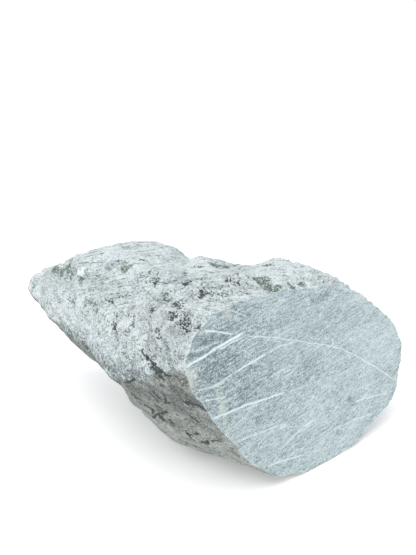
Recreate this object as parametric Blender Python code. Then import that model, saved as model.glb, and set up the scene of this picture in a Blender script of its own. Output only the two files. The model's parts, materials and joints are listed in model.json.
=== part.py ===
"""Raw soapstone block: one rough quarried lump with a single sawn face.

Blender 4.5, metres, +Z up. The stone is about 12 inches long behind its sawn face, 10 inches
wide along it and 6 inches high. It is one piece, so it is one object.

Sizes are in millimetres. Points are measured from the foot of the sawn face, its near lower
corner: X runs out of the face (so the stone is at -X), Y runs along the face and Z is up. The
finished stone is then set down with the middle of its box over the origin and its base at
Z = 0.
"""

import math

import bmesh
import bpy
import numpy as np
from mathutils import Vector, noise

STONE = "soapstone_block"
MM = 0.001

# The saw cut leans back from the vertical and passes through the foot of the face.
SAW_LEAN = math.radians(14.0)
SAW_NORMAL = Vector((math.cos(SAW_LEAN), 0.0, math.sin(SAW_LEAN)))
SAW_WASTE = 14.0
FACE_FOOT = Vector((0.0, 0.0, 0.0))

# The stone rests on worn level patches of its underside, this far below the foot.
BASE_LEVEL = -9.0

# The sawn face's outline as (Y, Z), anticlockwise from its foot.
FACE_OUTLINE = (
    (2, -1), (17, -3), (36, -9), (62, -9), (89, -6), (112, 0), (127, 6), (147, 10), (159, 20),
    (166, 33), (172, 43), (177, 62), (175, 71), (162, 83), (149, 93), (133, 103), (116, 112),
    (97, 119), (76, 123), (55, 124), (31, 126), (10, 128), (-8, 127), (-23, 124), (-35, 120),
    (-46, 115), (-56, 104), (-64, 98), (-65, 92), (-55, 69), (-49, 56), (-36, 40), (-27, 27),
    (-15, 13),
)  # fmt: skip

# Corners of the rough lump behind the face, as (X, Y, Z).
NEAR_RIDGE = (
    (-33, -71, 90), (-48, -76, 83), (-75, -77, 72), (-110, -75, 67), (-150, -69, 70), (-200, -60, 74),
    (-245, -52, 73),
)  # fmt: skip
NOSE = (
    (-283, -42, 74), (-304, -40, 84), (-308, -34, 95), (-294, -33, 106), (-270, -22, 66),
    (-300, -5, 80), (-290, 5, 98), (-270, 20, 62),
)  # fmt: skip
NEAR_CREST = (
    (-270, -34, 112), (-240, -27, 125), (-215, -36, 134), (-200, -19, 140), (-195, 5, 144),
    (-200, 25, 142), (-190, 45, 137), (-150, -35, 138), (-100, -30, 136), (-50, -35, 126),
)  # fmt: skip
FAR_CREST = (
    (-110, 30, 138), (-70, 45, 135), (-70, 67, 137), (-65, 89, 133), (-40, 76, 135),
    (-40, 108, 121), (-35, 134, 108),
)  # fmt: skip
FAR_FLANK = (
    (-60, 178, 66), (-70, 170, 25), (-100, 142, 93), (-120, 155, 55), (-120, 136, 5),
    (-182, 120, 68), (-180, 98, 12), (-170, 90, 110), (-232, 70, 68), (-230, 52, 32),
    (-230, 48, 112),
)  # fmt: skip
BASE = (
    (-14, 30, -10), (-32, 14, -10), (-62, 2, -10), (-110, -4, -10), (-145, 0, -10),
    (-150, 75, -10), (-100, 112, -10), (-45, 88, -10), (-190, 20, 5), (-70, -50, 28),
    (-120, -40, 22),
)  # fmt: skip

# Rounded swellings (+) and scoops (-): centre, radius and height.
SWELLINGS = (
    ((-172, 32, 140), 22, 2),       # far end of the highest hump
    ((-168, 45, 136), 9, -6),
    ((-148, 53, 129), 7, 5),        # knob in the saddle behind the hump
    ((-112, 74, 128), 8, -4),       # fall of the saddle towards the far hump
    ((-97, 79, 132), 9, -5),
    ((-222, -26, 128), 12, 4),      # the hump's near shoulder
    ((-232, -22, 128), 8, 3),
    ((-134, 38, 133), 10, 4),       # near end of the middle hump
    ((-298, -32, 92), 20, 4),       # tip of the nose
    ((-80, -60, 100), 28, 3),       # belly over the near ridge
    ((-76, -24, 6), 28, 5),         # belly under it
    ((-111, -59, 48), 9, -4),
    ((-90, -47, 27), 8, -3),
    ((-103, -57, 39), 8, 4),
    ((-68, -30, 4), 9, -3),
    ((-31, -25, 12), 9, 3),
    ((-22, -66, 90), 10, -3),       # near edge of the sawn face
    ((-14, -54, 66), 12, -3),
    ((-9, -34, 38), 12, -3),
    ((-38, 123, 115), 7, -4),       # far edge of the sawn face
    ((-26, 142, 99), 8, -4),
    ((-17, 174, 68), 8, -4),
    ((-10, 163, 33), 9, -4),
    ((-2, 14, -4), 9, -3),
    ((-228, -34, 119), 13, -6),     # clean break behind the nose
    ((-104, 50, 138), 23, -10),     # saddle between middle and far humps
    ((-36, 22, 131), 11, -4),       # clean break over the sawn face
    ((-225, -38, 48), 30, -2),      # undercut of the nose
    ((-150, -50, 36), 30, -7),      # undercut of the near ridge
    ((-140, -40, 26), 20, -6),
    ((-72, -30, 8), 14, 4),
    ((-4, 130, 4), 9, -3),          # nick in the sawn face's far foot
    ((-142, 72, 133), 27, -5),      # fall of the crest to the far side
    ((-180, 112, 75), 55, -17),     # scoops of the far side
    ((-120, 155, 85), 35, -9),
    ((-235, 60, 55), 38, -11),
    ((-205, 75, 118), 32, -8),
)  # fmt: skip

# Creases, each a run of points with a width and a depth.
CREASES = (
    (((-240, -30, 113), (-197, -47, 112), (-147, -52, 113), (-107, -51, 117), (-87, -38, 128),
      (-97, -10, 137)), 11, 3),
    (((-42, -50, 111), (-66, -38, 125), (-90, -15, 135), (-109, 7, 139), (-150, 45, 140),
      (-185, 80, 125)), 8, 9),
    (((-53, 31, 137), (-98, 70, 138), (-140, 108, 110)), 9, 3),
    (((-100, -76, 72), (-60, -74, 77), (-20, -68, 88)), 4, 2),
    (((-205, 100, 105), (-150, 125, 60), (-110, 145, 15)), 9, 6),
)  # fmt: skip

# Over the sawn face the crust slopes up from the rim to the crest, which is this steep. The rim's
# top is given as (Y, Z).
BROW_SLOPE = 1.7
BROW = ((-30, 121), (-10, 126), (31, 125), (55, 123), (76, 121), (97, 117), (116, 110), (133, 101))
BROW_START = -30.0

# The stone is built of thin layers, nearly level, that dip along the face and wave.
LAYER_DIP = 0.08
LAYER_WAVE = 9.0
LAYER_WAVE_SIZE = 75.0
LEDGE_THICKNESS = 14.0
LEDGE_RISE = 4.2
LEDGE_PATCH_SIZE = 40.0
LEDGE_SHARE = 0.55
LEDGE_SHARE_CHANGE = 1.2
LEDGE_SHARE_MOST = 1.2

# Flakes are longer along the layers than across them.
CHIP_SIZE = (30.0, 30.0, 17.0)
CHIP_RISE = 5.0
CHIP_STEEPEST = 0.5

# Creases wander from side to side and fade in places.
WANDER = 6.0
WANDER_SIZE = 26.0
FADE_SIZE = 30.0
LEAST_CREASE = 0.35

# General unevenness: lump size and height of each scale.
UNEVENNESS = ((38.0, 3.0), (15.0, 1.6))

# The crust is rough where it faces up, and smoother on the broken underside.
SIDE_ROUGHNESS = 0.8
ROUGHER_UPWARD = 0.5
LEAST_ROUGHNESS = 0.5

VOXEL = 4.0
ROUNDING_PASSES = 3
ROUNDING_STEP = 0.5
TRIANGLES_BEFORE_SAWING = 11200
MERGE_DISTANCE = 1e-6


def clear_scene():
    for found in list(bpy.data.objects):
        bpy.data.objects.remove(found, do_unlink=True)


def on_saw_plane(y, z, proud=0.0):
    """A point of the sawn face, or one that stands proud of it along X."""
    return (proud - z * math.tan(SAW_LEAN), y, z)


def rough_lump():
    """The stone before it was sawn: a hull around all its corners."""
    corners = [on_saw_plane(y, z) for y, z in FACE_OUTLINE]
    corners += [on_saw_plane(y, z, SAW_WASTE) for y, z in FACE_OUTLINE]
    for group in (NEAR_RIDGE, NOSE, NEAR_CREST, FAR_CREST, FAR_FLANK, BASE):
        corners += group
    shell = bmesh.new()
    for corner in corners:
        shell.verts.new(Vector(corner) * MM)
    made = bmesh.ops.convex_hull(shell, input=shell.verts)
    inside = [item for item in made["geom_interior"] if isinstance(item, bmesh.types.BMVert)]
    bmesh.ops.delete(shell, geom=inside, context="VERTS")
    mesh = bpy.data.meshes.new(STONE)
    shell.to_mesh(mesh)
    shell.free()
    lump = bpy.data.objects.new(STONE, mesh)
    bpy.context.scene.collection.objects.link(lump)
    return lump


def bake_modifiers(lump):
    """Turns what the modifiers make into the object's own mesh."""
    graph = bpy.context.evaluated_depsgraph_get()
    baked = bpy.data.meshes.new_from_object(lump.evaluated_get(graph))
    lump.modifiers.clear()
    before = lump.data
    lump.data = baked
    bpy.data.meshes.remove(before)
    baked.name = STONE


def remesh(lump):
    """Gives the lump an even mesh, which can be sculpted."""
    even = lump.modifiers.new("even_mesh", "REMESH")
    even.mode = "VOXEL"
    even.voxel_size = VOXEL * MM
    bake_modifiers(lump)


def round_off(lump):
    """Wears the lump's sharp corners down."""
    shell = bmesh.new()
    shell.from_mesh(lump.data)
    for _ in range(ROUNDING_PASSES):
        bmesh.ops.smooth_vert(
            shell,
            verts=shell.verts,
            factor=ROUNDING_STEP,
            use_axis_x=True,
            use_axis_y=True,
            use_axis_z=True,
        )
    shell.to_mesh(lump.data)
    shell.free()


def vertex_arrays(lump):
    """The vertices' places in millimetres, and their normals."""
    count = len(lump.data.vertices)
    places = np.empty(count * 3)
    normals = np.empty(count * 3)
    lump.data.vertices.foreach_get("co", places)
    lump.data.vertices.foreach_get("normal", normals)
    return places.reshape(-1, 3) / MM, normals.reshape(-1, 3)


def put_vertices(lump, places):
    lump.data.vertices.foreach_set("co", (places * MM).ravel())
    lump.data.update()


def bump(distance, radius):
    """A smooth bell: 1 in the middle, a third at one radius and nothing at two."""
    return np.exp(-((distance / radius) ** 2))


def swellings(places):
    height = np.zeros(len(places))
    for centre, radius, rise in SWELLINGS:
        distance = np.linalg.norm(places - np.array(centre), axis=1)
        height += rise * bump(distance, radius)
    return height


def distance_to_run(places, run):
    """Each place's distance from a run of straight pieces."""
    nearest = np.full(len(places), np.inf)
    for start, end in zip(run, run[1:]):
        along = np.subtract(end, start)
        share = np.clip((places - start) @ along / (along @ along), 0.0, 1.0)
        distance = np.linalg.norm(places - start - share[:, None] * along, axis=1)
        nearest = np.minimum(nearest, distance)
    return nearest


def noise_at(places, size, seed):
    """Smooth noise from -1 to 1 whose lumps are about `size` millimetres across."""
    shift = Vector((17.3, 5.1, 9.7)) * seed
    return np.array([noise.noise(Vector(place) / size + shift) for place in places])


def creases(places):
    sideways = [noise_at(places, WANDER_SIZE, seed) for seed in (5, 6, 7)]
    wandered = places + WANDER * np.column_stack(sideways)
    fade = np.clip(0.9 + noise_at(places, FADE_SIZE, seed=8), LEAST_CREASE, 1.0)
    height = np.zeros(len(places))
    for run, width, depth in CREASES:
        height -= depth * fade * bump(distance_to_run(wandered, run), width)
    return height


def ledges(places):
    """Steps where the stone's layers end at the surface, stronger in some patches."""
    wave = LAYER_WAVE * noise_at(places, LAYER_WAVE_SIZE, seed=1)
    layer = places[:, 2] + LAYER_DIP * places[:, 1] + wave
    rise = np.mod(layer / LEDGE_THICKNESS, 1.0) - 0.5
    patches = LEDGE_SHARE_CHANGE * noise_at(places, LEDGE_PATCH_SIZE, seed=2)
    return LEDGE_RISE * rise * np.clip(LEDGE_SHARE + patches, 0.0, LEDGE_SHARE_MOST)


def chips(places):
    """Shallow flakes that meet in grooves: the two nearest cell centres are level there."""
    flakes = [noise.voronoi(Vector(place))[0] for place in places / np.array(CHIP_SIZE)]
    inside = np.array([distances[1] - distances[0] for distances in flakes])
    return CHIP_RISE * (np.clip(inside, 0.0, CHIP_STEEPEST) - CHIP_STEEPEST / 2)


def brow(places):
    """Keeps the crust over the sawn face under a slope that starts at the face's rim."""
    rim_y, rim_z = np.array(BROW).T
    behind = np.maximum(-(places @ np.array(SAW_NORMAL)), 0.0)
    highest = np.interp(places[:, 1], rim_y, rim_z) + BROW_SLOPE * behind
    lowered = np.minimum(places[:, 2], highest)
    return np.where(places[:, 1] > BROW_START, lowered, places[:, 2])


def unevenness(places):
    scales = enumerate(UNEVENNESS, start=3)
    return sum(rise * noise_at(places, size, seed) for seed, (size, rise) in scales)


def sculpt(lump):
    """Moves the surface in and out along its normals."""
    places, normals = vertex_arrays(lump)
    roughness = SIDE_ROUGHNESS + ROUGHER_UPWARD * normals[:, 2]
    crust = ledges(places) + chips(places) + unevenness(places)
    height = swellings(places) + creases(places)
    height += np.clip(roughness, LEAST_ROUGHNESS, 1.0) * crust
    places += normals * height[:, None]
    places[:, 2] = brow(places)
    put_vertices(lump, places)


def simplify(lump):
    """Keeps small faces on ledges and leaves large ones where the stone is flatter."""
    lump.data.calc_loop_triangles()
    fewer = lump.modifiers.new("fewer_faces", "DECIMATE")
    fewer.ratio = TRIANGLES_BEFORE_SAWING / len(lump.data.loop_triangles)
    fewer.use_collapse_triangulate = True
    bake_modifiers(lump)


def wear_base(lump):
    """Levels the lowest lumps, so that the stone rests without rocking."""
    places, _ = vertex_arrays(lump)
    places[:, 2] = np.maximum(places[:, 2], BASE_LEVEL)
    put_vertices(lump, places)


def saw(lump):
    """Cuts off what is beyond the saw plane and closes the stone with one flat face."""
    shell = bmesh.new()
    shell.from_mesh(lump.data)
    cut = bmesh.ops.bisect_plane(
        shell,
        geom=shell.verts[:] + shell.edges[:] + shell.faces[:],
        dist=MERGE_DISTANCE,
        plane_co=FACE_FOOT * MM,
        plane_no=SAW_NORMAL,
        clear_outer=True,
    )
    rim = [item for item in cut["geom_cut"] if isinstance(item, bmesh.types.BMEdge)]
    bmesh.ops.contextual_create(shell, geom=rim)
    wide_faces = [face for face in shell.faces if len(face.verts) > 3]
    bmesh.ops.triangulate(shell, faces=wide_faces)
    shell.to_mesh(lump.data)
    shell.free()


def set_down(lump):
    """Puts the middle of the stone's box over the origin, with its base at Z = 0."""
    places, _ = vertex_arrays(lump)
    low, high = places.min(axis=0), places.max(axis=0)
    middle = (low + high) / 2
    move = np.array((-middle[0], -middle[1], -low[2]))
    put_vertices(lump, places + move)
    print("foot of the sawn face at", (np.array(FACE_FOOT) + move).round(2), "mm")


def soapstone():
    """Chalky pale grey stone, dull and not metallic."""
    stone = bpy.data.materials.new("soapstone")
    stone.use_nodes = True
    shader = stone.node_tree.nodes["Principled BSDF"]
    shader.inputs["Base Color"].default_value = (0.60, 0.65, 0.64, 1.0)
    shader.inputs["Roughness"].default_value = 0.8
    shader.inputs["Metallic"].default_value = 0.0
    return stone


def main():
    clear_scene()
    block = rough_lump()
    remesh(block)
    round_off(block)
    sculpt(block)
    remesh(block)
    simplify(block)
    wear_base(block)
    saw(block)
    set_down(block)
    block.data.materials.append(soapstone())


main()
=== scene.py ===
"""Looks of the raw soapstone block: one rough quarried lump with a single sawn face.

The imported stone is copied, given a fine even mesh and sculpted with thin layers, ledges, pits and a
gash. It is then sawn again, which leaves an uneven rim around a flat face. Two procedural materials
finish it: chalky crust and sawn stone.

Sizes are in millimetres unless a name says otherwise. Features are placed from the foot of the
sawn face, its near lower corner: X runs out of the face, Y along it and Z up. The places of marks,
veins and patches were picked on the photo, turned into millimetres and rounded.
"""

import json
import math

import bmesh
import bpy
import numpy as np
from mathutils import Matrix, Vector, geometry, noise


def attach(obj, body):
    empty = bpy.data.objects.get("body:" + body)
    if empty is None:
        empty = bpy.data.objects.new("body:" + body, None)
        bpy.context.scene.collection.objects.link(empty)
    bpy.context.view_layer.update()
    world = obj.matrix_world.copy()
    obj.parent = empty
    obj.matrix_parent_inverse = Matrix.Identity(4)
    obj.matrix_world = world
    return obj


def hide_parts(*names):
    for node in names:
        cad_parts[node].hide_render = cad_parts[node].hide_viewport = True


MM = 0.001
STONE_NODE = "soapstone_block"

# The saw cut leans back from the vertical and passes through the foot of the face.
SAW_LEAN = math.radians(14.0)
SAW_NORMAL = np.array((math.cos(SAW_LEAN), 0.0, math.sin(SAW_LEAN)))
FACE_MOUNT_FROM_FOOT = np.array((-60.0 * math.tan(SAW_LEAN), 55.0, 60.0))

# The mesh: how far the stone is grown past the saw cut before it is cut again, and how fine it is.
GROWTH = 6.0
VOXEL = 1.2
ROUNDING_PASSES = 10
TRIANGLES = 212000
FACE_GRID = 4.0
RIM_GRID = 1.6
RIM_BAND = 4.5
RIM_CLEARANCE = 0.9

# The layers fold over a hinge along the near slope: these are their normals above and below it.
UPPER_LAYERS = np.array((-0.30, 0.00, 0.95))
LOWER_LAYERS = np.array((0.30, 0.60, 0.74))
HINGE_LEVEL = 66.0
HINGE_RADIUS = 12.0
LAYER_WAVES = ((60.0, 6.0), (18.0, 2.2))

# Patches of dark crumbly pits: centre and radius.
DARK_PATCHES = (
    ((-67, -36, 120), 7.5),
    ((-60, -46, 116), 5.5),
    ((-51, -42, 113), 7.5),
    ((-34, -46, 114), 5.5),
    ((-80, -36, 122), 5.5),
    ((-82, -48, 117), 4.5),
    ((-110, -63, 98), 6.5),
    ((-84, -15, 130), 6.5),
    ((-103, -29, 131), 5.5),
    ((-60, -19, 128), 7.5),
    ((-48, -8, 129), 5.5),
    ((-60, 12, 132), 7.5),
    ((-50, 18, 131), 7.0),
    ((-113, 22, 133), 4.5),
    ((-137, -17, 140), 3.5),
)  # fmt: skip

# Ragged marks of near-black mineral in the crust: the run each follows, and its half width.
DARK_MARKS = (
    (((-72, -34, 122), (-65, -37, 119)), 2.8),
    (((-62, -43, 118), (-60, -48, 115)), 2.2),
    (((-80, -37, 122), (-76, -39, 121)), 1.6),
    (((-55, -38, 115), (-51, -43, 113)), 2.7),
    (((-50, -44, 109), (-44, -45, 109)), 2.4),
    (((-35, -46, 115), (-29, -47, 114)), 2.0),
    (((-84, -46, 117), (-79, -51, 116)), 2.0),
    (((-58, -61, 110), (-55, -63, 106)), 2.0),
    (((-117, -61, 101), (-109, -63, 98), (-104, -65, 95)), 2.2),
    (((-94, -57, 111), (-86, -62, 106)), 1.5),
    (((-104, -55, 111), (-101, -57, 109)), 1.8),
    (((-107, 3, 131), (-103, 0, 131)), 2.0),
    (((-88, -17, 130), (-81, -13, 131)), 2.5),
    (((-107, -24, 134), (-102, -30, 131), (-99, -33, 128)), 2.6),
    (((-62, -18, 129), (-58, -23, 127)), 2.2),
    (((-57, -18, 129), (-50, -13, 129)), 1.8),
    (((-67, 12, 132), (-60, 9, 131)), 1.8),
    (((-68, 23, 135), (-63, 20, 134)), 1.5),
    (((-57, 14, 131), (-53, 12, 131)), 1.5),
    (((-60, 28, 133), (-57, 26, 132)), 1.4),
    (((-147, -21, 139), (-144, -21, 139)), 1.6),
    (((-139, -18, 140), (-134, -16, 140)), 2.0),
    (((-119, -20, 138), (-114, -18, 138)), 1.6),
    (((-192, -44, 119), (-190, -46, 114)), 2.0),
    (((-204, -50, 103), (-202, -51, 98)), 1.8),
    (((-196, -51, 98), (-191, -52, 97)), 1.8),
    (((-190, -59, 76), (-182, -61, 72)), 2.0),
    (((-156, -65, 75), (-140, -68, 72)), 2.2),
    (((-170, -49, 103), (-160, -51, 102)), 1.6),
    (((-150, -55, 102), (-143, -57, 101)), 1.6),
    (((-129, -48, 115), (-120, -45, 119)), 1.5),
    (((-138, -51, 112), (-131, -52, 112)), 1.4),
    (((-121, -57, 106), (-114, -58, 106)), 1.5),
    (((-131, -65, 89), (-127, -66, 87)), 1.6),
)  # fmt: skip

# Patches that are crumbly to a lesser share: centre and radius.
FAINT_SHARE = 0.62
FAINT_PATCHES = (
    ((-196, -51, 98), 5.5),
    ((-175, -50, 99), 8.0),
    ((-160, -52, 102), 8.0),
    ((-173, -55, 94), 6.0),
    ((-134, -51, 112), 6.0),
    ((-148, -50, 106), 7.0),
    ((-96, -58, 110), 5.0),
    ((-110, -63, 102), 7.0),
    ((-62, -62, 108), 6.0),
    ((-50, 2, 130), 12.0),
    ((-70, -10, 129), 9.0),
)  # fmt: skip

# Clean patches where the green stone shows through the chalky crust.
GREEN_PATCHES = (
    ((-252, -35, 115), 6.0),
    ((-241, -35, 115), 7.0),
    ((-231, -33, 119), 7.5),
    ((-236, -29, 122), 6.5),
    ((-222, -38, 115), 5.0),
    ((-208, -39, 120), 4.5),
    ((-134, -36, 136), 5.5),
    ((-112, 39, 131), 8.5),
    ((-103, 38, 132), 8.0),
    ((-113, 51, 128), 5.5),
    ((-88, 24, 134), 4.0),
    ((-52, 34, 131), 7.5),
    ((-43, 29, 129), 6.5),
    ((-35, 30, 127), 7.0),
    ((-70, 58, 134), 5.0),
    ((-35, 47, 127), 3.5),
    ((-33, 63, 125), 4.5),
    ((-190, -43, 117), 3.0),
)  # fmt: skip

# How thick each stacked ledge is, and where the ledges stand out most: centre and radius.
LEDGE_HEIGHT = 4.6
LEDGE_PATCHES = (
    ((-190, -40, 130), 26.0),
    ((-160, -42, 124), 24.0),
    ((-135, -47, 118), 20.0),
    ((-112, -48, 118), 13.0),
    ((-212, -35, 122), 18.0),
    ((-195, -15, 140), 22.0),
    ((-160, 0, 142), 24.0),
    ((-65, 5, 133), 18.0),
)  # fmt: skip

# How far each kind of relief stands out of the crust, or how deep it goes in.
LEDGE_RISE = 1.8
PLATE_RISE = 1.0
FIBRE_RISE = 0.5
LUMP_RISE = 0.45
GRIT_RISE = 0.18
PIT_DEPTH = 1.7
GASH_DEPTH = 1.2

# Fields that only shape the relief, which no material reads.
RELIEF_ONLY = ("gash", "ledge")

# How far the green patches and the flake are shifted about to make them ragged, and at what size.
RAGGED_SHIFT = 5.5
RAGGED_SIZE = 7.0

# Low swellings: centre, radius and height.
BULGES = (((-288, -42, 82), 9.0, 1.8), ((-247, -48, 75), 8.0, 2.2), ((-50, 98, 116), 24.0, 2.4))

# A bare white flake: the straight run that it follows, and how far it reaches from that.
WHITE_FLAKE = ((-197, -43, 121), (-187, -43, 125))
WHITE_FLAKE_REACH = 4.2

# Where the crust is paler (+) or darker (-) than elsewhere, partly its own tone and partly painted light
# and shade, as on the paler hump tops and the darker nose underside and slope foot: centre, radius and
# change.
CRUST_TONE_AND_PAINTED_LIGHT = (
    ((-150, 20, 140), 60, 0.7),
    ((-136, 5, 140), 18, 0.5),
    ((-250, -30, 95), 45, 0.8),
    ((-190, -50, 98), 22, 0.4),
    ((-20, 75, 125), 60, 0.8),
    ((-70, 5, 133), 22, -0.5),
    ((-36, -22, 124), 12, -0.6),
    ((-108, 54, 127), 14, -0.5),
    ((-70, -60, 107), 22, -0.3),
    ((-57, -54, 111), 11, 1.0),
    ((-45, -60, 102), 16, -0.6),
    ((-36, -68, 92), 9, -0.4),
    ((-110, -40, 118), 40, -0.1),
    ((-128, -48, 115), 12, 0.6),
    ((-262, -42, 82), 14, -0.8),
    ((-92, -74, 74), 14, -0.7),
    ((-62, -73, 79), 12, -0.9),
    ((-75, -70, 90), 9, -0.5),
)  # fmt: skip

# Painted shade below the face's corner, where the crust takes the underside's darker colour: centre and
# radius.
PAINTED_SHADE_PATCHES = (((-29, -67, 81), 11), ((-44, -71, 79), 8))

# Painted shade along the near slope's foot, where it turns under: the run it follows, how far the shade
# reaches from it and how it changes the shade.
PAINTED_SHADE_FOOT = (
    (-206, -57, 72),
    (-191, -60, 72),
    (-166, -65, 72),
    (-139, -70, 71),
    (-113, -73, 70),
    (-90, -76, 71),
    (-70, -76, 75),
)  # fmt: skip
PAINTED_SHADE_FOOT_REACH = 9.0
PAINTED_SHADE_FOOT_CHANGE = -1.7

# The split in the belly over the near ridge: its two runs, and how far each reaches.
GASH_REACH = 1.8
GASHES = (
    ((-59, -71, 92), (-51, -69, 89), (-42, -70, 87), (-36, -70, 85)),
    ((-54, -70, 89), (-46, -71, 85), (-41, -69, 82)),
)  # fmt: skip

# Streaks are drawn out along one level direction as well as along the layers.
GRAIN_ALONG = (0.66, 0.75, 0.0)
GRAIN_STRETCH = 3.5

# Where the crust's grain runs its own way: how many times it is drawn out that way, then a name, the
# way, and the patches as centre and radius.
OWN_GRAIN_STRETCH = 5.0
OWN_GRAINS = (
    (
        "corner_grain",
        (0.91, -0.08, -0.40),
        (((-53, -60, 107), 13), ((-40, -63, 101), 14), ((-56, -67, 101), 9)),
    ),
    (
        "slope_grain",
        (-0.62, 0.71, 0.33),
        (((-84, -50, 116), 13), ((-67, -57, 112), 12), ((-87, -42, 121), 10)),
    ),
    (
        "nose_grain",
        (0.98, -0.03, 0.08),
        (((-266, -39, 101), 19), ((-240, -38, 108), 17), ((-216, -40, 112), 15)),
    ),
)

# Dark slivers of the near side: the way they go into the stone, how many times longer they are that
# way, then from, to and half width.
SLIVER_DEPTH = (-0.30, 0.86, 0.42)
SLIVER_STRETCH = 8.0
SLIVERS = (
    ((-60, -71, 93), (-51, -69, 89), 1.2),
    ((-51, -69, 89), (-42, -70, 87), 1.0),
    ((-42, -70, 87), (-35, -70, 84), 0.8),
    ((-53, -70, 88), (-46, -71, 85), 0.7),
    ((-46, -71, 85), (-41, -69, 82), 0.6),
    ((-63, -71, 96), (-61, -71, 93), 0.8),
    ((-80, -75, 68), (-68, -74, 74), 0.9),
    ((-82, -68, 57), (-82, -64, 50), 0.8),
    ((-57, -69, 68), (-53, -65, 62), 1.0),
    ((-60, -69, 66), (-56, -64, 58), 0.7),
    ((-45, -67, 68), (-49, -62, 59), 0.8),
    ((-47, -62, 60), (-41, -62, 62), 0.7),
    ((-74, -62, 48), (-68, -59, 46), 1.1),
    ((-68, -59, 46), (-72, -58, 41), 1.0),
    ((-61, -62, 53), (-58, -60, 51), 0.8),
    ((-75, -55, 36), (-66, -58, 42), 0.8),
    ((-66, -58, 42), (-55, -57, 49), 0.8),
    ((-64, -56, 41), (-63, -54, 38), 1.4),
    ((-56, -54, 41), (-56, -50, 35), 0.9),
    ((-30, -61, 67), (-29, -59, 65), 0.9),
    ((-27, -59, 67), (-21, -56, 65), 1.3),
    ((-21, -56, 65), (-17, -54, 63), 1.8),
    ((-34, -54, 53), (-29, -51, 49), 1.0),
    ((-46, -47, 33), (-43, -41, 25), 0.9),
    ((-40, -45, 33), (-36, -44, 35), 0.9),
    ((-37, -39, 25), (-31, -39, 29), 1.5),
    ((-26, -40, 31), (-18, -38, 36), 0.8),
)  # fmt: skip

# Veins of the sawn face as (Y, Z) from, through and to, then half width and strength.
VEINS = (
    ((-65, 94), (-41, 99), (-8, 105), 1.0, 1.0),
    ((-36, 98), (-24, 100), (-9, 102), 0.5, 0.8),
    ((-58, 102), (-41, 103), (-29, 104), 0.45, 0.55),
    ((-45, 113), (-33, 110), (-18, 105), 0.7, 0.9),
    ((-20, 122), (-12, 118), (-4, 114), 0.5, 0.6),
    ((-58, 77), (-41, 77), (-25, 80), 0.5, 0.7),
    ((-25, 80), (-9, 83), (10, 86), 0.7, 0.9),
    ((10, 86), (26, 87), (44, 86), 0.7, 0.6),
    ((-50, 76), (-41, 76), (-31, 78), 0.4, 0.5),
    ((-6, 101), (40, 88), (94, 69), 0.5, 0.65),
    ((94, 69), (124, 51), (160, 26), 0.45, 0.85),
    ((-50, 56), (-16, 56), (22, 54), 0.8, 0.8),
    ((22, 54), (42, 53), (62, 53), 0.5, 0.35),
    ((8, 68), (18, 70), (29, 71), 0.5, 0.6),
    ((-54, 69), (-43, 68), (-33, 66), 0.5, 0.6),
    ((-29, 35), (-8, 34), (18, 33), 0.5, 0.6),
    ((8, 16), (22, 21), (49, 27), 0.4, 0.85),
    ((-8, 9), (11, 8), (32, 4), 0.5, 0.8),
    ((100, 25), (120, 23), (147, 19), 0.6, 0.7),
    ((67, 12), (96, 11), (121, 9), 0.5, 0.6),
)  # fmt: skip
DARK_VEINS = (
    ((54, 54), (90, 53), (117, 53), 0.6, 0.6),
    ((-38, 58), (-14, 58), (6, 57), 0.8, 0.4),
    ((-58, 100), (-35, 102), (-10, 107), 1.0, 0.8),
    ((-53, 105), (-39, 106), (-22, 104), 1.6, 0.5),
    ((1, 12), (20, 12), (34, 11), 0.5, 0.6),
    ((72, 14), (97, 13), (124, 11), 0.5, 0.6),
    ((-26, 37), (-11, 36), (-3, 36), 0.5, 0.5),
    ((-18, 124), (-11, 126), (-4, 124), 1.2, 0.8),
    ((-20, 124), (0, 121), (14, 117), 0.8, 0.4),
)  # fmt: skip

# Soft tones of the sawn face: centre, half width and half height, and how much darker (-) it is.
FACE_SHADES = (
    # Y, Z, along Y, along Z, change
    (-42, 86, 21, 11, -1.2),
    (-32, 103, 42, 15, -0.8),
    (-34, 107, 14, 3.5, -0.9),
    (-12, 124, 8, 3, -1.0),
    (-18, 120, 10, 5, -0.7),
    (78, 114, 20, 3, -0.8),
    (30, 118, 20, 4, 0.3),
    (124, 105, 16, 7, 0.6),
    (-34, 58, 2, 3, -1.0),
    (-36, 51, 2.5, 2.5, -1.0),
    (-32, 68, 20, 11, -0.6),
    (-55, 96, 12, 8, -0.4),
    (-50, 70, 10, 16, -0.5),
    (-4, 66, 24, 12, -0.6),
    (4, 80, 18, 5, -0.4),
    (26, 60, 22, 9, -0.4),
    (80, 40, 40, 13, 0.4),
    (140, 62, 34, 28, 0.8),
    (100, 10, 36, 12, 0.4),
    (55, 0, 32, 8, 0.4),
    (30, 20, 40, 18, 0.25),
)  # fmt: skip
# Cream tints and dark spots of the sawn face: centre, half width and half height.
FACE_CREAM = ((-62, 88, 3, 6), (-22, 121, 4, 2), (-40, 60, 1.5, 14))
FACE_SPOTS = ((93.5, 29, 3.2, 1.6), (72, 8, 1.6, 1.0))

CAMERA_FROM_FOOT = np.array((267.2, -298.3, 246.8))
CAMERA_DIRECTION = Vector((-0.73229, 0.63657, -0.24192))
LENS = 40.0
SENSOR = 36.0


# ---------------------------------------------------------------- shape


def foot_of_face():
    """The foot of the sawn face in the row frame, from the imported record's mount."""
    mounts = {mount["name"]: mount for mount in frame["record"]["mounts"]}
    return np.array(mounts["sawn_face"]["pos_m"]) / MM - FACE_MOUNT_FROM_FOOT


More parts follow.
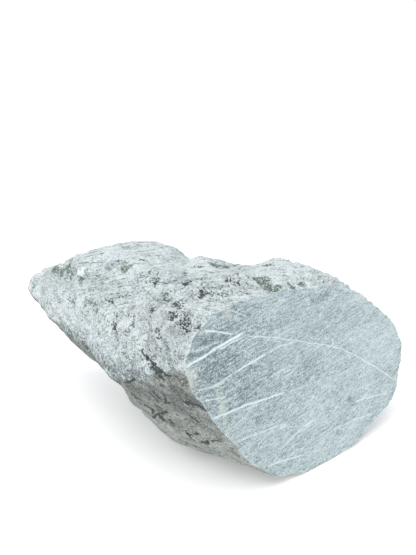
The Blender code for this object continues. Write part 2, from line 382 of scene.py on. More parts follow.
def stone_copy(node):
    """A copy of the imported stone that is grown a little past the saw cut."""
    shell = bmesh.new()
    shell.from_mesh(node.data)
    bmesh.ops.remove_doubles(shell, verts=shell.verts, dist=0.001 * MM)
    normal = Vector(SAW_NORMAL)
    foot = Vector(FOOT * MM)
    sawn = [
        face
        for face in shell.faces
        if face.normal.dot(normal) > 0.9999
        and abs((face.calc_center_median() - foot).dot(normal)) < 0.05 * MM
    ]
    grown = bmesh.ops.extrude_face_region(shell, geom=sawn)
    ends = [item for item in grown["geom"] if isinstance(item, bmesh.types.BMVert)]
    bmesh.ops.translate(shell, verts=ends, vec=normal * GROWTH * MM)
    left = [face for face in sawn if face.is_valid]
    bmesh.ops.delete(shell, geom=left, context="FACES")
    mesh = bpy.data.meshes.new("raw_stone")
    shell.to_mesh(mesh)
    shell.free()
    mesh.materials.append(crust_material())
    mesh.materials.append(sawn_material())
    stone = bpy.data.objects.new("raw_stone", mesh)
    bpy.context.scene.collection.objects.link(stone)
    return stone


def bake_modifiers(stone):
    """Turns what the modifiers make into the object's own mesh."""
    graph = bpy.context.evaluated_depsgraph_get()
    baked = bpy.data.meshes.new_from_object(stone.evaluated_get(graph))
    stone.modifiers.clear()
    before = stone.data
    stone.data = baked
    bpy.data.meshes.remove(before)


def refine(stone):
    """Gives the stone a fine even mesh and rounds its facets off."""
    even = stone.modifiers.new("even_mesh", "REMESH")
    even.mode = "VOXEL"
    even.voxel_size = VOXEL * MM
    rounding = stone.modifiers.new("rounding", "SMOOTH")
    rounding.iterations = ROUNDING_PASSES
    rounding.factor = 0.5
    bake_modifiers(stone)


def vertex_arrays(stone):
    """The vertices' places in millimetres from the foot of the face, and their normals."""
    count = len(stone.data.vertices)
    places = np.empty(count * 3)
    normals = np.empty(count * 3)
    stone.data.vertices.foreach_get("co", places)
    stone.data.vertices.foreach_get("normal", normals)
    return places.reshape(-1, 3) / MM - FOOT, normals.reshape(-1, 3)


def put_vertices(stone, places):
    stone.data.vertices.foreach_set("co", ((places + FOOT) * MM).ravel())
    stone.data.update()


def smooth_step(value, low, high):
    share = np.clip((value - low) / (high - low), 0.0, 1.0)
    return share * share * (3.0 - 2.0 * share)


def noise_at(points, seed, octaves=1):
    """Smooth noise from about -1 to 1 at points measured in lump sizes."""
    shift = Vector((17.3, 5.1, 9.7)) * seed
    return np.array([noise.fractal(Vector(point) + shift, 1.0, 2.0, octaves) for point in points])


def layer_height(places):
    """Which of the stone's thin layers each place is in, as a height in millimetres."""
    across = places @ (UPPER_LAYERS + LOWER_LAYERS) / 2 - HINGE_LEVEL
    along = places @ (UPPER_LAYERS - LOWER_LAYERS) / 2
    height = along + np.sqrt(across**2 + HINGE_RADIUS**2)
    for seed, (size, wave) in enumerate(LAYER_WAVES, start=1):
        height += wave * noise_at(places / size, seed)
    return height


def along_layers(places, layer, length, thickness):
    """Points for noise that is drawn out along the layers."""
    across = places[:, 0] + 0.37 * places[:, 2]
    along = places[:, 1] + 0.60 * places[:, 2]
    return np.column_stack((across / length, along / length, layer / thickness))


def patch_share(places, patches):
    """How deep each place is in the nearest patch, from 0 to 1."""
    share = np.zeros(len(places))
    for centre, radius in patches:
        distance = np.linalg.norm(places - np.array(centre), axis=1)
        share = np.maximum(share, np.exp(-((distance / radius) ** 2)))
    return share


def warped(places, amount, size, seed):
    """The places shifted about by noise, so that shapes measured from them come out ragged."""
    shifts = [noise_at(places / size, seed=seed + axis) for axis in range(3)]
    return places + amount * np.column_stack(shifts)


def distance_to_run(places, run):
    """Each place's distance from a run of straight pieces."""
    nearest = np.full(len(places), np.inf)
    for start, end in zip(run, run[1:]):
        along = np.subtract(end, start)
        share = np.clip((places - start) @ along / (along @ along), 0.0, 1.0)
        distance = np.linalg.norm(places - start - share[:, None] * along, axis=1)
        nearest = np.minimum(nearest, distance)
    return nearest


def nearness(places, run, reach):
    """How near each place is to a run of straight pieces, from 0 to 1."""
    return np.exp(-((distance_to_run(places, run) / reach) ** 2))


def pit_share(places, crumbly):
    """Small pits, from 0 to 1 at their bottoms, only where the crust is crumbly."""
    share = np.zeros(len(places))
    rough = crumbly > 0.03
    cells = places[rough] / 4.2
    nearest = np.array([noise.voronoi(Vector(point))[0][0] for point in cells])
    nearest += 0.28 * noise_at(places[rough] / 2.6, seed=31, octaves=2)
    share[rough] = smooth_step(0.62 * crumbly[rough] - nearest, -0.22, 0.12)
    return share


def crust_fields(places, normals):
    """Everything that varies over the crust, by name. All but layer and shade go from 0 to about 1."""
    layer = layer_height(places)
    facing_up = normals[:, 2]
    broad = noise_at(places / 34.0, seed=11, octaves=2)
    middle = noise_at(places / 12.0, seed=12, octaves=2)
    dark = np.maximum(patch_share(places, DARK_PATCHES), FAINT_SHARE * patch_share(places, FAINT_PATCHES))
    scattered = smooth_step(broad + 0.7 * middle, 0.5, 1.0)
    # Crust that faces down takes the underside's colour: partly its own duller broken crust, partly
    # painted shade.
    under = smooth_step(-facing_up + 0.12 * middle, 0.05, 0.32)
    # Below the face's corner the underside's darker colour is painted shade.
    under = np.maximum(under, smooth_step(patch_share(places, PAINTED_SHADE_PATCHES), 0.25, 0.6))
    crumbly = np.clip(1.15 * dark + 0.40 * scattered, 0.0, 1.0) * (1.0 - 0.8 * under)
    # The shade field: the crust's own broad tone, with painted light and shade added by place.
    shade = 0.35 * broad
    for centre, radius, change in CRUST_TONE_AND_PAINTED_LIGHT:
        shade += change * patch_share(places, ((centre, radius),))
    # Painted shade along the near slope's foot.
    shade += PAINTED_SHADE_FOOT_CHANGE * nearness(places, PAINTED_SHADE_FOOT, PAINTED_SHADE_FOOT_REACH)
    wander = places + 1.6 * noise_at(places / 6.0, seed=13)[:, None]
    gash = np.max([nearness(wander, run, GASH_REACH) for run in GASHES], axis=0)
    mark = np.max([nearness(places, run, half_width) for run, half_width in DARK_MARKS], axis=0)
    ragged = warped(places, RAGGED_SHIFT, RAGGED_SIZE, seed=41)
    green = patch_share(ragged, GREEN_PATCHES) + 0.22 * middle
    grains = {name: smooth_step(patch_share(places, area), 0.25, 0.60) for name, _, area in OWN_GRAINS}
    ledge = smooth_step(noise_at(places / 26.0, seed=21), -0.35, 0.4)
    return {
        "layer": layer,
        "crumbly": crumbly,
        # The split darkens the pits and marks as painted shade inside it; the other marks are dark
        # mineral.
        "pit": np.maximum(pit_share(places, crumbly), np.maximum(gash, 0.6 * mark)),
        "mark": np.maximum(1.3 * gash, mark * (1.0 - 0.5 * under)),
        "gash": gash,
        "green": smooth_step(green, 0.30, 0.62),
        "under": under,
        "shade": shade,
        "ledge": ledge,
        "stacked": patch_share(places, LEDGE_PATCHES),
        "flake": smooth_step(nearness(ragged, WHITE_FLAKE, WHITE_FLAKE_REACH), 0.45, 0.65),
        **grains,
    }


def crust_relief(places, fields):
    """How far each place of the crust stands out, in millimetres."""
    layer = fields["layer"]
    calm = 1.0 - 0.45 * fields["under"]
    ledges = LEDGE_RISE * (np.mod(layer / LEDGE_HEIGHT, 1.0) - 0.5)
    ledges *= np.maximum(fields["ledge"], 1.3 * fields["stacked"])
    fibres = FIBRE_RISE * noise_at(along_layers(places, layer, 14.0, 2.0), seed=22, octaves=2)
    plates = PLATE_RISE * noise_at(along_layers(places, layer, 24.0, 6.0), seed=23, octaves=2)
    lumps = LUMP_RISE * noise_at(places / 9.0, seed=24, octaves=2)
    grit = GRIT_RISE * noise_at(places / 3.2, seed=25, octaves=2)
    relief = calm * (ledges + fibres + plates + lumps) + grit * (0.8 + 1.6 * fields["crumbly"])
    relief -= PIT_DEPTH * fields["pit"]
    relief -= GASH_DEPTH * fields["gash"]
    for centre, radius, height in BULGES:
        relief += height * patch_share(places, ((centre, radius),))
    return relief


def set_attribute(stone, name, values):
    attribute = stone.data.attributes.get(name) or stone.data.attributes.new(name, "FLOAT", "POINT")
    attribute.data.foreach_set("value", np.asarray(values, np.float32))


def sculpt(stone):
    """Moves the surface along its normals and stores the fields that the materials read."""
    places, normals = vertex_arrays(stone)
    fields = crust_fields(places, normals)
    moved = places + normals * crust_relief(places, fields)[:, None]
    moved[:, 2] = np.maximum(moved[:, 2], -FOOT[2])
    put_vertices(stone, moved)
    for name, values in fields.items():
        if name not in RELIEF_ONLY:
            set_attribute(stone, name, values)


def simplify(stone):
    """Spends the triangles where the crust is roughest."""
    stone.data.calc_loop_triangles()
    fewer = stone.modifiers.new("fewer_faces", "DECIMATE")
    fewer.ratio = TRIANGLES / len(stone.data.loop_triangles)
    fewer.use_collapse_triangulate = True
    bake_modifiers(stone)


def rim_loop(edges):
    """The longest closed run of the cut's edges, as vertices in order."""
    beside = {}
    for edge in edges:
        for vert in edge.verts:
            beside.setdefault(vert, []).append(edge.other_vert(vert))
    loops = []
    unseen = dict.fromkeys(beside)
    while unseen:
        vert = next(iter(unseen))
        loop = []
        while vert is not None:
            loop.append(vert)
            del unseen[vert]
            vert = next((other for other in beside[vert] if other in unseen), None)
        loops.append(loop)
    return max(loops, key=len)


def inside_outline(points, outline):
    """Whether each point is inside a closed outline, by counting the edges it crosses."""
    inside = np.zeros(len(points), bool)
    for (y0, z0), (y1, z1) in zip(outline, np.roll(outline, -1, axis=0)):
        spans = (z0 > points[:, 1]) != (z1 > points[:, 1])
        if z0 == z1:
            continue
        crossing = y0 + (points[:, 1] - z0) * (y1 - y0) / (z1 - z0)
        inside ^= spans & (points[:, 0] < crossing)
    return inside


def distance_to_outline(points, outline):
    closed = np.vstack((outline, outline[:1]))
    nearest = np.full(len(points), np.inf)
    for start, end in zip(closed, closed[1:]):
        along = end - start
        length = max(along @ along, 1e-9)
        share = np.clip((points - start) @ along / length, 0.0, 1.0)
        distance = np.linalg.norm(points - start - share[:, None] * along, axis=1)
        nearest = np.minimum(nearest, distance)
    return nearest


def oval(across, y, z, along_y, along_z):
    """A soft oval on the sawn face: 1 in its middle and a third at its edge."""
    away = (across - (y, z)) / (along_y, along_z)
    return np.exp(-(away**2).sum(axis=1))


def face_points(outline):
    """Points inside the sawn face: a fine grid along the rim and a wide one elsewhere."""
    low, high = outline.min(axis=0), outline.max(axis=0)
    chosen = []
    bands = ((RIM_GRID, RIM_CLEARANCE, RIM_BAND), (FACE_GRID, RIM_BAND, np.inf))
    for step, nearest, farthest in bands:
        across = np.arange(low[0], high[0], step)
        up = np.arange(low[1], high[1], step * 0.87)
        grid_y, grid_z = np.meshgrid(across, up)
        grid_y[1::2] += step / 2
        grid = np.column_stack((grid_y.ravel(), grid_z.ravel()))
        grid = grid[inside_outline(grid, outline)]
        distance = distance_to_outline(grid, outline)
        chosen.append(grid[(distance > nearest) & (distance <= farthest)])
    return np.vstack(chosen)


def close_cut(shell, rim, outline):
    """Fills the cut with a flat mesh that shares the rim's own vertices."""
    flat = [Vector(point) for point in np.vstack((outline, face_points(outline)))]
    border = [(i, (i + 1) % len(rim)) for i in range(len(rim))]
    made = geometry.delaunay_2d_cdt(flat, border, [], 1, 1e-6)
    verts = {}
    for index, (point, sources) in enumerate(zip(made[0], made[3])):
        on_rim = [source for source in sources if source < len(rim)]
        if on_rim:
            verts[index] = rim[on_rim[0]]
        else:
            y, z = point
            place = np.array((-z * math.tan(SAW_LEAN), y, z)) + FOOT
            verts[index] = shell.verts.new(place * MM)
    for corners in made[2]:
        face = shell.faces.new([verts[corner] for corner in corners])
        face.material_index = 1
        face.normal_update()
        if face.normal.dot(Vector(SAW_NORMAL)) < 0:
            face.normal_flip()


def sharpen_rim(shell):
    """Shades everything smooth but for the edge between crust and sawn face."""
    for face in shell.faces:
        face.smooth = True
    for edge in shell.edges:
        if len({face.material_index for face in edge.link_faces}) > 1:
            edge.smooth = False


def store_face_fields(stone, outline):
    """Stores what varies over the sawn face, and each place's distance from its rim."""
    places, _ = vertex_arrays(stone)
    across = places[:, 1:]
    behind = np.maximum(-(places @ SAW_NORMAL), 0.0)
    on_face = behind < 0.01
    distance = distance_to_outline(across, outline)
    set_attribute(stone, "rim_distance", np.where(on_face, distance, behind))
    shade = sum(change * oval(across, *place) for *place, change in FACE_SHADES)
    set_attribute(stone, "face_shade", shade)
    set_attribute(stone, "cream", sum(0.6 * oval(across, *place) for place in FACE_CREAM))
    set_attribute(stone, "spot", sum(oval(across, *place) for place in FACE_SPOTS))


def saw(stone):
    """Cuts the grown end off and closes the stone with the flat sawn face."""
    shell = bmesh.new()
    shell.from_mesh(stone.data)
    cut = bmesh.ops.bisect_plane(
        shell,
        geom=shell.verts[:] + shell.edges[:] + shell.faces[:],
        dist=0.001 * MM,
        plane_co=Vector(FOOT * MM),
        plane_no=Vector(SAW_NORMAL),
        clear_outer=True,
    )
    rim = rim_loop([item for item in cut["geom_cut"] if isinstance(item, bmesh.types.BMEdge)])
    outline = np.array([(vert.co.y / MM - FOOT[1], vert.co.z / MM - FOOT[2]) for vert in rim])
    close_cut(shell, rim, outline)
    sharpen_rim(shell)
    shell.to_mesh(stone.data)
    shell.free()
    store_face_fields(stone, outline)


# ---------------------------------------------------------------- materials


class Graph:
    """Short calls that add shader nodes to one material."""

    def __init__(self, name):
        self.material = bpy.data.materials.new(name)
        self.material.use_nodes = True
        self.tree = self.material.node_tree
        self.shader = self.tree.nodes["Principled BSDF"]
        coordinates = self.tree.nodes.new("ShaderNodeTexCoord").outputs["Object"]
        from_foot = self.vector("SUBTRACT", coordinates, tuple(FOOT * MM))
        self.place = self.vector("SCALE", from_foot, scale=1.0 / MM)

    def put(self, socket, value):
        if isinstance(value, bpy.types.NodeSocket):
            self.tree.links.new(value, socket)
        else:
            socket.default_value = value

    def vector(self, operation, *values, scale=None):
        node = self.tree.nodes.new("ShaderNodeVectorMath")
        node.operation = operation
        for socket, value in zip(node.inputs, values):
            self.put(socket, value)
        if scale is not None:
            self.put(node.inputs["Scale"], scale)
        return node.outputs["Value" if operation in ("DOT_PRODUCT", "LENGTH") else "Vector"]

    def math(self, operation, *values):
        node = self.tree.nodes.new("ShaderNodeMath")
        node.operation = operation
        for socket, value in zip(node.inputs, values):
            self.put(socket, value)
        return node.outputs[0]

    def weighted(self, *terms):
        """The sum of each value times its weight, for values that vary around one half."""
        total = 0.0
        for value, weight in terms:
            total = self.math("MULTIPLY_ADD", self.math("SUBTRACT", value, 0.5), weight, total)
        return total

    def step(self, value, low, high, to_low=0.0, to_high=1.0):
        """Goes smoothly from one number to another as value goes from low to high."""
        node = self.tree.nodes.new("ShaderNodeMapRange")
        node.interpolation_type = "SMOOTHSTEP"
        for name, given in (
            ("Value", value),
            ("From Min", low),
            ("From Max", high),
            ("To Min", to_low),
            ("To Max", to_high),
        ):
            self.put(node.inputs[name], given)
        return node.outputs["Result"]

    def attribute(self, name):
        node = self.tree.nodes.new("ShaderNodeAttribute")
        node.attribute_name = name
        return node.outputs["Fac"]

    def noise(self, size, vector=None, layer=None, detail=3.0, roughness=0.55, distortion=0.0):
        """Noise of that lump size. With (layer, thickness) it is drawn out along the layers."""
        node = self.tree.nodes.new("ShaderNodeTexNoise")
        if layer is not None:
            node.noise_dimensions = "4D"
            self.put(node.inputs["W"], self.math("DIVIDE", *layer))
        self.put(node.inputs["Vector"], self.place if vector is None else vector)
        node.inputs["Scale"].default_value = 1.0 / size
        node.inputs["Detail"].default_value = detail
        node.inputs["Roughness"].default_value = roughness
        node.inputs["Distortion"].default_value = distortion
        return node.outputs["Fac"]

    def ramp(self, value, stops):
        """Colours in order of value, blended between their stops."""
        node = self.tree.nodes.new("ShaderNodeValToRGB")
        elements = node.color_ramp.elements
        while len(elements) < len(stops):
            elements.new(0.5)
        for element, (position, colour) in zip(elements, stops):
            element.position = position
            element.color = (*colour, 1.0)
        self.put(node.inputs["Fac"], value)
        return node.outputs["Color"]

    def mix(self, share, first, second):
        node = self.tree.nodes.new("ShaderNodeMix")
        node.data_type = "RGBA"
        self.put(node.inputs[0], share)
        self.put(node.inputs[6], first)
        self.put(node.inputs[7], second)
        return node.outputs[2]

    def stretched(self, direction, times):
        """The places with noise drawn out that many times along one direction."""
        along = Vector(direction).normalized()
        share = self.vector("DOT_PRODUCT", self.place, tuple(along))
        shift = self.vector("SCALE", tuple(along), scale=self.math("MULTIPLY", share, 1.0 / times - 1.0))
        return self.vector("ADD", self.place, shift)

    def distance_to(self, place, start, end):
        """How far each place is from a straight piece, in millimetres."""
        along = end - start
        from_start = self.vector("SUBTRACT", place, tuple(start))
        share = self.vector("DOT_PRODUCT", from_start, tuple(along / along.length_squared))
        share = self.math("MINIMUM", self.math("MAXIMUM", share, 0.0), 1.0)
        nearest = self.vector("SCALE", tuple(along), scale=share)
        return self.vector("LENGTH", self.vector("SUBTRACT", from_start, nearest))

    def bump(self, height, distance, normal=None):
        node = self.tree.nodes.new("ShaderNodeBump")
        node.inputs["Distance"].default_value = distance * MM
        self.put(node.inputs["Height"], height)
        if normal is not None:
            self.put(node.inputs["Normal"], normal)
        return node.outputs["Normal"]


# Colours from the darkest grain to the lightest, against a tone that is 0.5 on average.
CHALKY = (
    (0.22, (0.082, 0.102, 0.106)),
    (0.36, (0.232, 0.266, 0.276)),
    (0.44, (0.368, 0.412, 0.428)),
    (0.50, (0.466, 0.517, 0.533)),
    (0.58, (0.542, 0.593, 0.606)),
    (0.72, (0.645, 0.686, 0.692)),
)
GREEN = (
    (0.28, (0.045, 0.068, 0.056)),
    (0.45, (0.125, 0.168, 0.146)),
    (0.58, (0.245, 0.300, 0.274)),
    (0.72, (0.560, 0.615, 0.595)),
)
# Underside colours, darker than the crust above partly as painted shade.
UNDERSIDE_BROKEN_AND_SHADED = (
    (0.20, (0.070, 0.077, 0.070)),
    (0.36, (0.145, 0.158, 0.147)),
    (0.50, (0.215, 0.232, 0.218)),
    (0.66, (0.325, 0.345, 0.326)),
    (0.86, (0.450, 0.472, 0.445)),
)
SAWN = (
    (0.24, (0.135, 0.180, 0.196)),
    (0.42, (0.283, 0.342, 0.360)),
    (0.54, (0.386, 0.455, 0.474)),
    (0.72, (0.535, 0.605, 0.620)),
)
# Near-black mineral, also used as painted shade inside the split.
DARK_MINERAL_AND_SPLIT_SHADE = (0.021, 0.036, 0.038, 1.0)
DARK_SLIVER = (0.038, 0.048, 0.042, 1.0)
# Pale chalk, also used as a painted highlight round the dark specks.
CHALK_AND_HIGHLIGHT_WHITE = (0.70, 0.74, 0.74, 1.0)
FLAKE_WHITE = (0.80, 0.83, 0.82, 1.0)
VEIN_WHITE = (0.67, 0.75, 0.76, 1.0)
CREAM = (0.60, 0.62, 0.53, 1.0)
DARK_SPOT = (0.13, 0.19, 0.17, 1.0)
FLOOR_WHITE = (0.82, 0.82, 0.82, 1.0)
FLOOR_HALF_SIZE_M = 30.0


def crust_material():
    """Chalky crust: white, with grey streaks along the layers, dark pits and green patches, and painted
    light and shade over its humps, creases and underside.
    """
    g = Graph("soapstone_crust")
    crumbly = g.attribute("crumbly")
    pit = g.attribute("pit")
    streaks = grained(g, 7.0, 2.2, detail=4.0)
    fibres = grained(g, 3.0, 0.6, detail=3.0)
    grain = g.noise(1.3, detail=2.0, roughness=0.65)
    mottle = g.noise(4.5, detail=3.0, roughness=0.65)
    tone = g.weighted((streaks, 0.48), (fibres, 0.80), (grain, 0.70), (mottle, 0.22))
    cracks = crack_lines(g)
    top_tone = g.math("ADD", tone, g.math("MULTIPLY_ADD", pit, -0.08, 0.530))
    # Painted shade along the lines where thin flakes end.
    top_tone = g.math("MULTIPLY_ADD", cracks, -0.34, top_tone)
    # Painted shade in the creases between the ledges.
    top_tone = g.math("MULTIPLY_ADD", ledge_crease_shade(g, mottle), -0.42, top_tone)
    # The shade field brings in painted light and shade as well as the crust's own tone.
    top_tone = g.math("MULTIPLY_ADD", g.attribute("shade"), 0.075, top_tone)
    colour = g.ramp(top_tone, CHALKY)
    warm = g.step(g.noise(22.0, detail=3.0), 0.52, 0.68)
    colour = g.mix(warm, colour, g.vector("MULTIPLY", colour, (1.01, 0.99, 0.965)))
    # The underside's colour: duller crust, partly darkened as painted shade.
    colour = g.mix(g.attribute("under"), colour, underside_colour(g))
    speck = g.weighted((g.noise(1.6, detail=2.0, roughness=0.65), 1.7), (fibres, 0.8))
    speck = g.math("MULTIPLY_ADD", crumbly, 0.18, speck)
    speck = g.math("MULTIPLY_ADD", g.attribute("mark"), 0.28, speck)
    speck = g.math("MULTIPLY_ADD", pit, 0.05, speck)
    # A pale fringe round the dark specks of crumbly crust: partly chalk crumbs, partly a painted
    # highlight on the pits' rims.
    crumb_and_highlight_fringe = g.math("MULTIPLY", g.step(speck, 0.10, 0.20), g.math("MINIMUM", crumbly, 0.8))
    colour = g.mix(crumb_and_highlight_fringe, colour, CHALK_AND_HIGHLIGHT_WHITE)
    colour = g.mix(g.step(speck, 0.26, 0.32, 0.0, 0.94), colour, DARK_MINERAL_AND_SPLIT_SHADE)
    green_tone = g.math("ADD", g.weighted((grain, 1.8), (mottle, 1.0)), 0.46)
    edge = g.math("ADD", g.attribute("green"), g.weighted((grain, 1.6), (mottle, 1.8)))
    colour = g.mix(g.step(edge, 0.40, 0.66, 0.0, 0.96), colour, g.ramp(green_tone, GREEN))
    colour = g.mix(slivers(g, grain, mottle), colour, DARK_SLIVER)
    colour = g.mix(g.attribute("flake"), colour, FLAKE_WHITE)
    rim = g.math("ADD", g.step(g.attribute("rim_distance"), 2.4, 0.2), g.weighted((mottle, 3.0)))
    colour = g.mix(g.step(rim, 0.5, 1.1, 0.0, 0.35), colour, CHALK_AND_HIGHLIGHT_WHITE)
    g.put(g.shader.inputs["Base Color"], colour)
    g.shader.inputs["Roughness"].default_value = 0.85
    height = g.weighted((streaks, 1.0), (fibres, 0.6), (grain, 0.3))
    height = g.math("MULTIPLY_ADD", cracks, -0.12, height)
    g.put(g.shader.inputs["Normal"], g.bump(height, 2.0))
    return g.material


def grained(g, size, thickness, detail):
    """Noise drawn out along the layers, and along the crust's own grain where it has one."""
    lined = g.stretched(GRAIN_ALONG, GRAIN_STRETCH)
    value = g.noise(size, lined, (g.attribute("layer"), thickness), detail, roughness=0.63)
    for name, direction, _ in OWN_GRAINS:
        lined_own = g.stretched(direction, OWN_GRAIN_STRETCH)
        own = g.noise(1.3 * thickness, lined_own, detail=detail, roughness=0.63)
        value = g.math("MULTIPLY_ADD", g.attribute(name), g.math("SUBTRACT", own, value), value)
    return value


def underside_colour(g):
    """Duller crust of the underside, streaked and flecked along the layers, darker partly as painted
    shade, and paler at its foot as painted light bounced up from the floor.
    """
    layer = g.attribute("layer")
    lined = g.stretched(GRAIN_ALONG, GRAIN_STRETCH)
    level = g.tree.nodes.new("ShaderNodeSeparateXYZ")
    g.put(level.inputs[0], g.place)
    streaks = g.noise(8.0, vector=lined, layer=(layer, 1.6), detail=4.0, roughness=0.6)
    grain = g.noise(1.6, detail=2.0, roughness=0.65)
    tone = g.weighted((streaks, 0.95), (grain, 1.15))
    # Paler towards the foot: painted light bounced up from the floor.
    tone = g.math("ADD", tone, g.step(level.outputs["Z"], 75.0, 5.0, 0.42, 0.68))
    flecks = g.noise(3.4, vector=lined, layer=(layer, 0.9), detail=2.0, roughness=0.6)
    tone = g.math("SUBTRACT", tone, g.step(flecks, 0.61, 0.645, 0.0, 0.34))
    return g.ramp(tone, UNDERSIDE_BROKEN_AND_SHADED)


def flattened(point):
    """Where a point lies once the slivers' depth is squeezed, as it is for the stretched places."""
    point = Vector(point)
    inward = Vector(SLIVER_DEPTH).normalized()
    return point - inward * inward.dot(point) * (1.0 - 1.0 / SLIVER_STRETCH)


def slivers(g, grain, mottle):
    """Dark slivers of mineral in the near side, from 0 to 1. Each goes straight into the stone."""
    flat = g.stretched(SLIVER_DEPTH, SLIVER_STRETCH)
    ragged = g.weighted((grain, 4.5), (mottle, 2.0))
    dark = 0.0
    for start, end, half_width in SLIVERS:
        start, end = flattened(start), flattened(end)
        distance = g.math("ADD", g.distance_to(flat, start, end), ragged)
        dark = g.math("MAXIMUM", dark, g.step(distance, 1.25 * half_width + 0.3, 0.75 * half_width))
    gaps = g.step(g.noise(2.4, detail=1.0), 0.34, 0.42, 0.45, 0.97)
    return g.math("MULTIPLY", dark, gaps)


def ledge_crease_shade(g, mottle):
    """Painted shade in the creases where one stacked ledge steps back behind the next, from 0 to 1."""
    turns = g.math("DIVIDE", g.attribute("layer"), LEDGE_HEIGHT / 2)
    turns = g.math("ADD", turns, g.weighted((mottle, 0.6)))
    crease = g.step(g.math("FRACT", turns), 0.22, 0.04)
    breaks = g.step(g.noise(12.0, detail=2.0), 0.40, 0.56)
    return g.math("MULTIPLY", g.math("MULTIPLY", crease, breaks), g.attribute("stacked"))


def crack_lines(g):
    """Fine broken lines where thin flakes end, from 0 to 1. In the colour they are painted shade under
    the flakes' edges.
    """
    flakes = grained(g, 3.2, 1.3, detail=2.0)
    near_edge = g.math("ABSOLUTE", g.math("SUBTRACT", flakes, 0.5))
    breaks = g.step(g.noise(9.0, detail=2.0), 0.50, 0.60)
    return g.math("MULTIPLY", g.step(near_edge, 0.026, 0.004), breaks)


def vein_share(g, across, wander, vein):
    """One curved vein of the sawn face, from 0 to 1."""
    y, z = across
    *points, half_width, strength = vein
    from_y, to_y = points[0][0], points[-1][0]
    bend, slope, level = (float(value) for value in np.polyfit(*zip(*points), 2))
    curve = g.math("MULTIPLY_ADD", g.math("MULTIPLY_ADD", y, bend, slope), y, level)
    off = g.math("ABSOLUTE", g.math("ADD", g.math("SUBTRACT", z, curve), wander))
    line = g.step(off, half_width + 0.25, 0.5 * half_width, 0.0, strength)
    begins = g.step(y, from_y - 2.0, from_y + 3.0)
    ends = g.step(y, to_y + 1.0, to_y - 6.0)
    return g.math("MULTIPLY", line, g.math("MULTIPLY", begins, ends))


def strongest(g, across, wander, veins):
    share = 0.0
    for vein in veins:
        share = g.math("MAXIMUM", share, vein_share(g, across, wander, vein))
    return share


def pale_threads(g, level):
    """Hair-thin pale threads that follow the face's grain here and there, from 0 to 1."""
    winding = g.noise(9.0, vector=level, detail=2.5, roughness=0.5)
    near_thread = g.math("ABSOLUTE", g.math("SUBTRACT", winding, 0.5))
    here = g.step(g.noise(16.0, detail=2.0), 0.46, 0.60, 0.0, 0.55)
    return g.math("MULTIPLY", g.step(near_thread, 0.016, 0.002), here)


def face_grain(g, y, z, share):
    """Places for noise that is drawn out along the face's grain, which climbs a little."""
    place = g.tree.nodes.new("ShaderNodeCombineXYZ")
    g.put(place.inputs["X"], g.math("MULTIPLY", y, share))
    g.put(place.inputs["Y"], g.math("MULTIPLY_ADD", y, -0.14, z))
    return place.outputs[0]


def sawn_material():
    """Sawn stone: blue-grey with fine level grain, clouds and white veins."""
    g = Graph("soapstone_sawn")
    separate = g.tree.nodes.new("ShaderNodeSeparateXYZ")
    g.put(separate.inputs[0], g.place)
    y, z = separate.outputs["Y"], separate.outputs["Z"]
    short, long = face_grain(g, y, z, 0.24), face_grain(g, y, z, 0.07)
    grain = g.noise(1.5, vector=short, detail=4.0, roughness=0.65)
    threads = g.noise(1.2, vector=long, detail=3.0, roughness=0.6)
    bands = g.noise(8.0, vector=short, detail=4.0, roughness=0.6, distortion=0.4)
    speckle = g.noise(1.05, detail=2.0, roughness=0.65)
    clouds = g.noise(30.0, detail=3.0, distortion=0.8)
    shade = g.attribute("face_shade")
    tone = g.weighted((grain, 0.72), (threads, 0.36), (speckle, 1.10), (bands, 0.42), (clouds, 0.12))
    darker = g.math("MAXIMUM", g.math("MULTIPLY", shade, -1.0), 0.0)
    tone = g.math("MULTIPLY_ADD", g.weighted((grain, 0.5), (speckle, 0.3)), darker, tone)
    tone = g.math("ADD", tone, g.math("MULTIPLY_ADD", shade, 0.13, 0.515))
    wander = g.weighted((g.noise(13.0, detail=3.0), 3.0), (speckle, 0.9))
    tone = g.math("MULTIPLY_ADD", strongest(g, (y, z), wander, DARK_VEINS), -0.16, tone)
    colour = g.ramp(tone, SAWN)
    broken = g.step(g.noise(4.0, detail=3.0, roughness=0.7), 0.30, 0.55, 0.6, 1.0)
    veins = g.math("MULTIPLY", strongest(g, (y, z), wander, VEINS), broken)
    veins = g.math("MAXIMUM", veins, pale_threads(g, short))
    colour = g.mix(veins, colour, VEIN_WHITE)
    colour = g.mix(g.attribute("cream"), colour, CREAM)
    colour = g.mix(g.attribute("spot"), colour, DARK_SPOT)
    rim = g.step(g.attribute("rim_distance"), 2.2, 0.0)
    rim = g.math("ADD", rim, g.weighted((bands, 2.2), (speckle, 1.0)))
    colour = g.mix(g.step(rim, 0.6, 1.2, 0.0, 0.35), colour, VEIN_WHITE)
    g.put(g.shader.inputs["Base Color"], colour)
    g.shader.inputs["Roughness"].default_value = 0.72
    g.put(g.shader.inputs["Normal"], g.bump(g.weighted((grain, 1.0), (speckle, 0.7)), 0.5))
    return g.material


def floor_material():
    g = Graph("pale_floor")
    g.put(g.shader.inputs["Base Color"], FLOOR_WHITE)
    g.put(g.shader.inputs["Emission Color"], FLOOR_WHITE)
    g.shader.inputs["Emission Strength"].default_value = 0.30
    g.shader.inputs["Roughness"].default_value = 0.9
    return g.material


# ---------------------------------------------------------------- studio


def make_floor():
    mesh = bpy.data.meshes.new("floor")
    half = FLOOR_HALF_SIZE_M
    corners = [(-half, -half, 0), (half, -half, 0), (half, half, 0), (-half, half, 0)]
    mesh.from_pydata(corners, [], [(0, 1, 2, 3)])
    floor = bpy.data.objects.new("floor", mesh)
    floor.data.materials.append(floor_material())
    bpy.context.scene.collection.objects.link(floor)


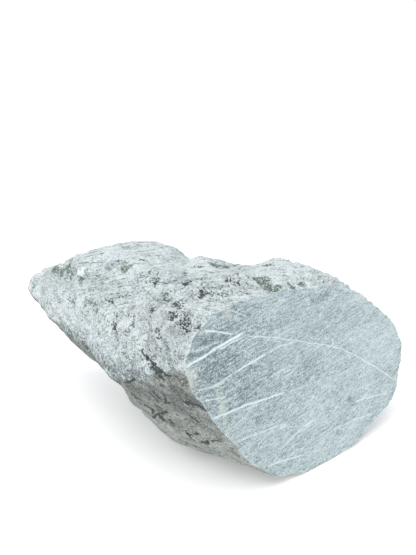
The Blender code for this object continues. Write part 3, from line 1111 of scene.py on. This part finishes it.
def make_world():
    """Even light from all round; the camera sees plain white behind the stone."""
    world = bpy.data.worlds.new("studio")
    world.use_nodes = True
    nodes, links = world.node_tree.nodes, world.node_tree.links
    light = nodes["Background"]
    light.inputs["Color"].default_value = (0.94, 0.98, 1.0, 1.0)
    light.inputs["Strength"].default_value = 0.95
    white = nodes.new("ShaderNodeBackground")
    white.inputs["Color"].default_value = (1.0, 1.0, 1.0, 1.0)
    white.inputs["Strength"].default_value = 1.05
    choose = nodes.new("ShaderNodeMixShader")
    links.new(nodes.new("ShaderNodeLightPath").outputs["Is Camera Ray"], choose.inputs[0])
    links.new(light.outputs[0], choose.inputs[1])
    links.new(white.outputs[0], choose.inputs[2])
    links.new(choose.outputs[0], nodes["World Output"].inputs["Surface"])
    bpy.context.scene.world = world


def make_key_light():
    """A wide soft light from above, a little to the camera's side."""
    data = bpy.data.lights.new("soft_key", "SUN")
    data.energy = 1.75
    data.angle = math.radians(55.0)
    data.color = (1.0, 0.985, 0.96)
    light = bpy.data.objects.new("soft_key", data)
    towards = Vector((0.10, -0.42, 0.90))
    light.rotation_mode = "QUATERNION"
    light.rotation_quaternion = (-towards).to_track_quat("-Z", "Y")
    bpy.context.scene.collection.objects.link(light)


def make_camera():
    data = bpy.data.cameras.new("camera")
    data.lens = LENS
    data.sensor_fit = "VERTICAL"
    data.sensor_height = SENSOR
    data.sensor_width = SENSOR
    data.clip_start = 0.01
    camera = bpy.data.objects.new("camera", data)
    camera.location = Vector((FOOT + CAMERA_FROM_FOOT) * MM)
    camera.rotation_mode = "QUATERNION"
    camera.rotation_quaternion = CAMERA_DIRECTION.to_track_quat("-Z", "Y")
    bpy.context.scene.collection.objects.link(camera)
    bpy.context.scene.camera = camera
    bpy.context.scene.view_settings.view_transform = "Standard"


def make_stone():
    stone = stone_copy(frame["nodes"][STONE_NODE])
    refine(stone)
    sculpt(stone)
    simplify(stone)
    saw(stone)
    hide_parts(STONE_NODE)
    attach(stone, "root")


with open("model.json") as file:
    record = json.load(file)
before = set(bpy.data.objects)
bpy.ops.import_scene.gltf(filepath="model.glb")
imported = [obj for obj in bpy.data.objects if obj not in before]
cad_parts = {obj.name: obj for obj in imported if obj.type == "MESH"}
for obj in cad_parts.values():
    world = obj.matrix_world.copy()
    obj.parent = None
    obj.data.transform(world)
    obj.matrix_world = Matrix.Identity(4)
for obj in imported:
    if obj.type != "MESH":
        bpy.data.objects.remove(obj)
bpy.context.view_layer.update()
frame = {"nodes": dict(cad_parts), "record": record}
FOOT = foot_of_face()
make_stone()
make_floor()
make_world()
make_key_light()
make_camera()
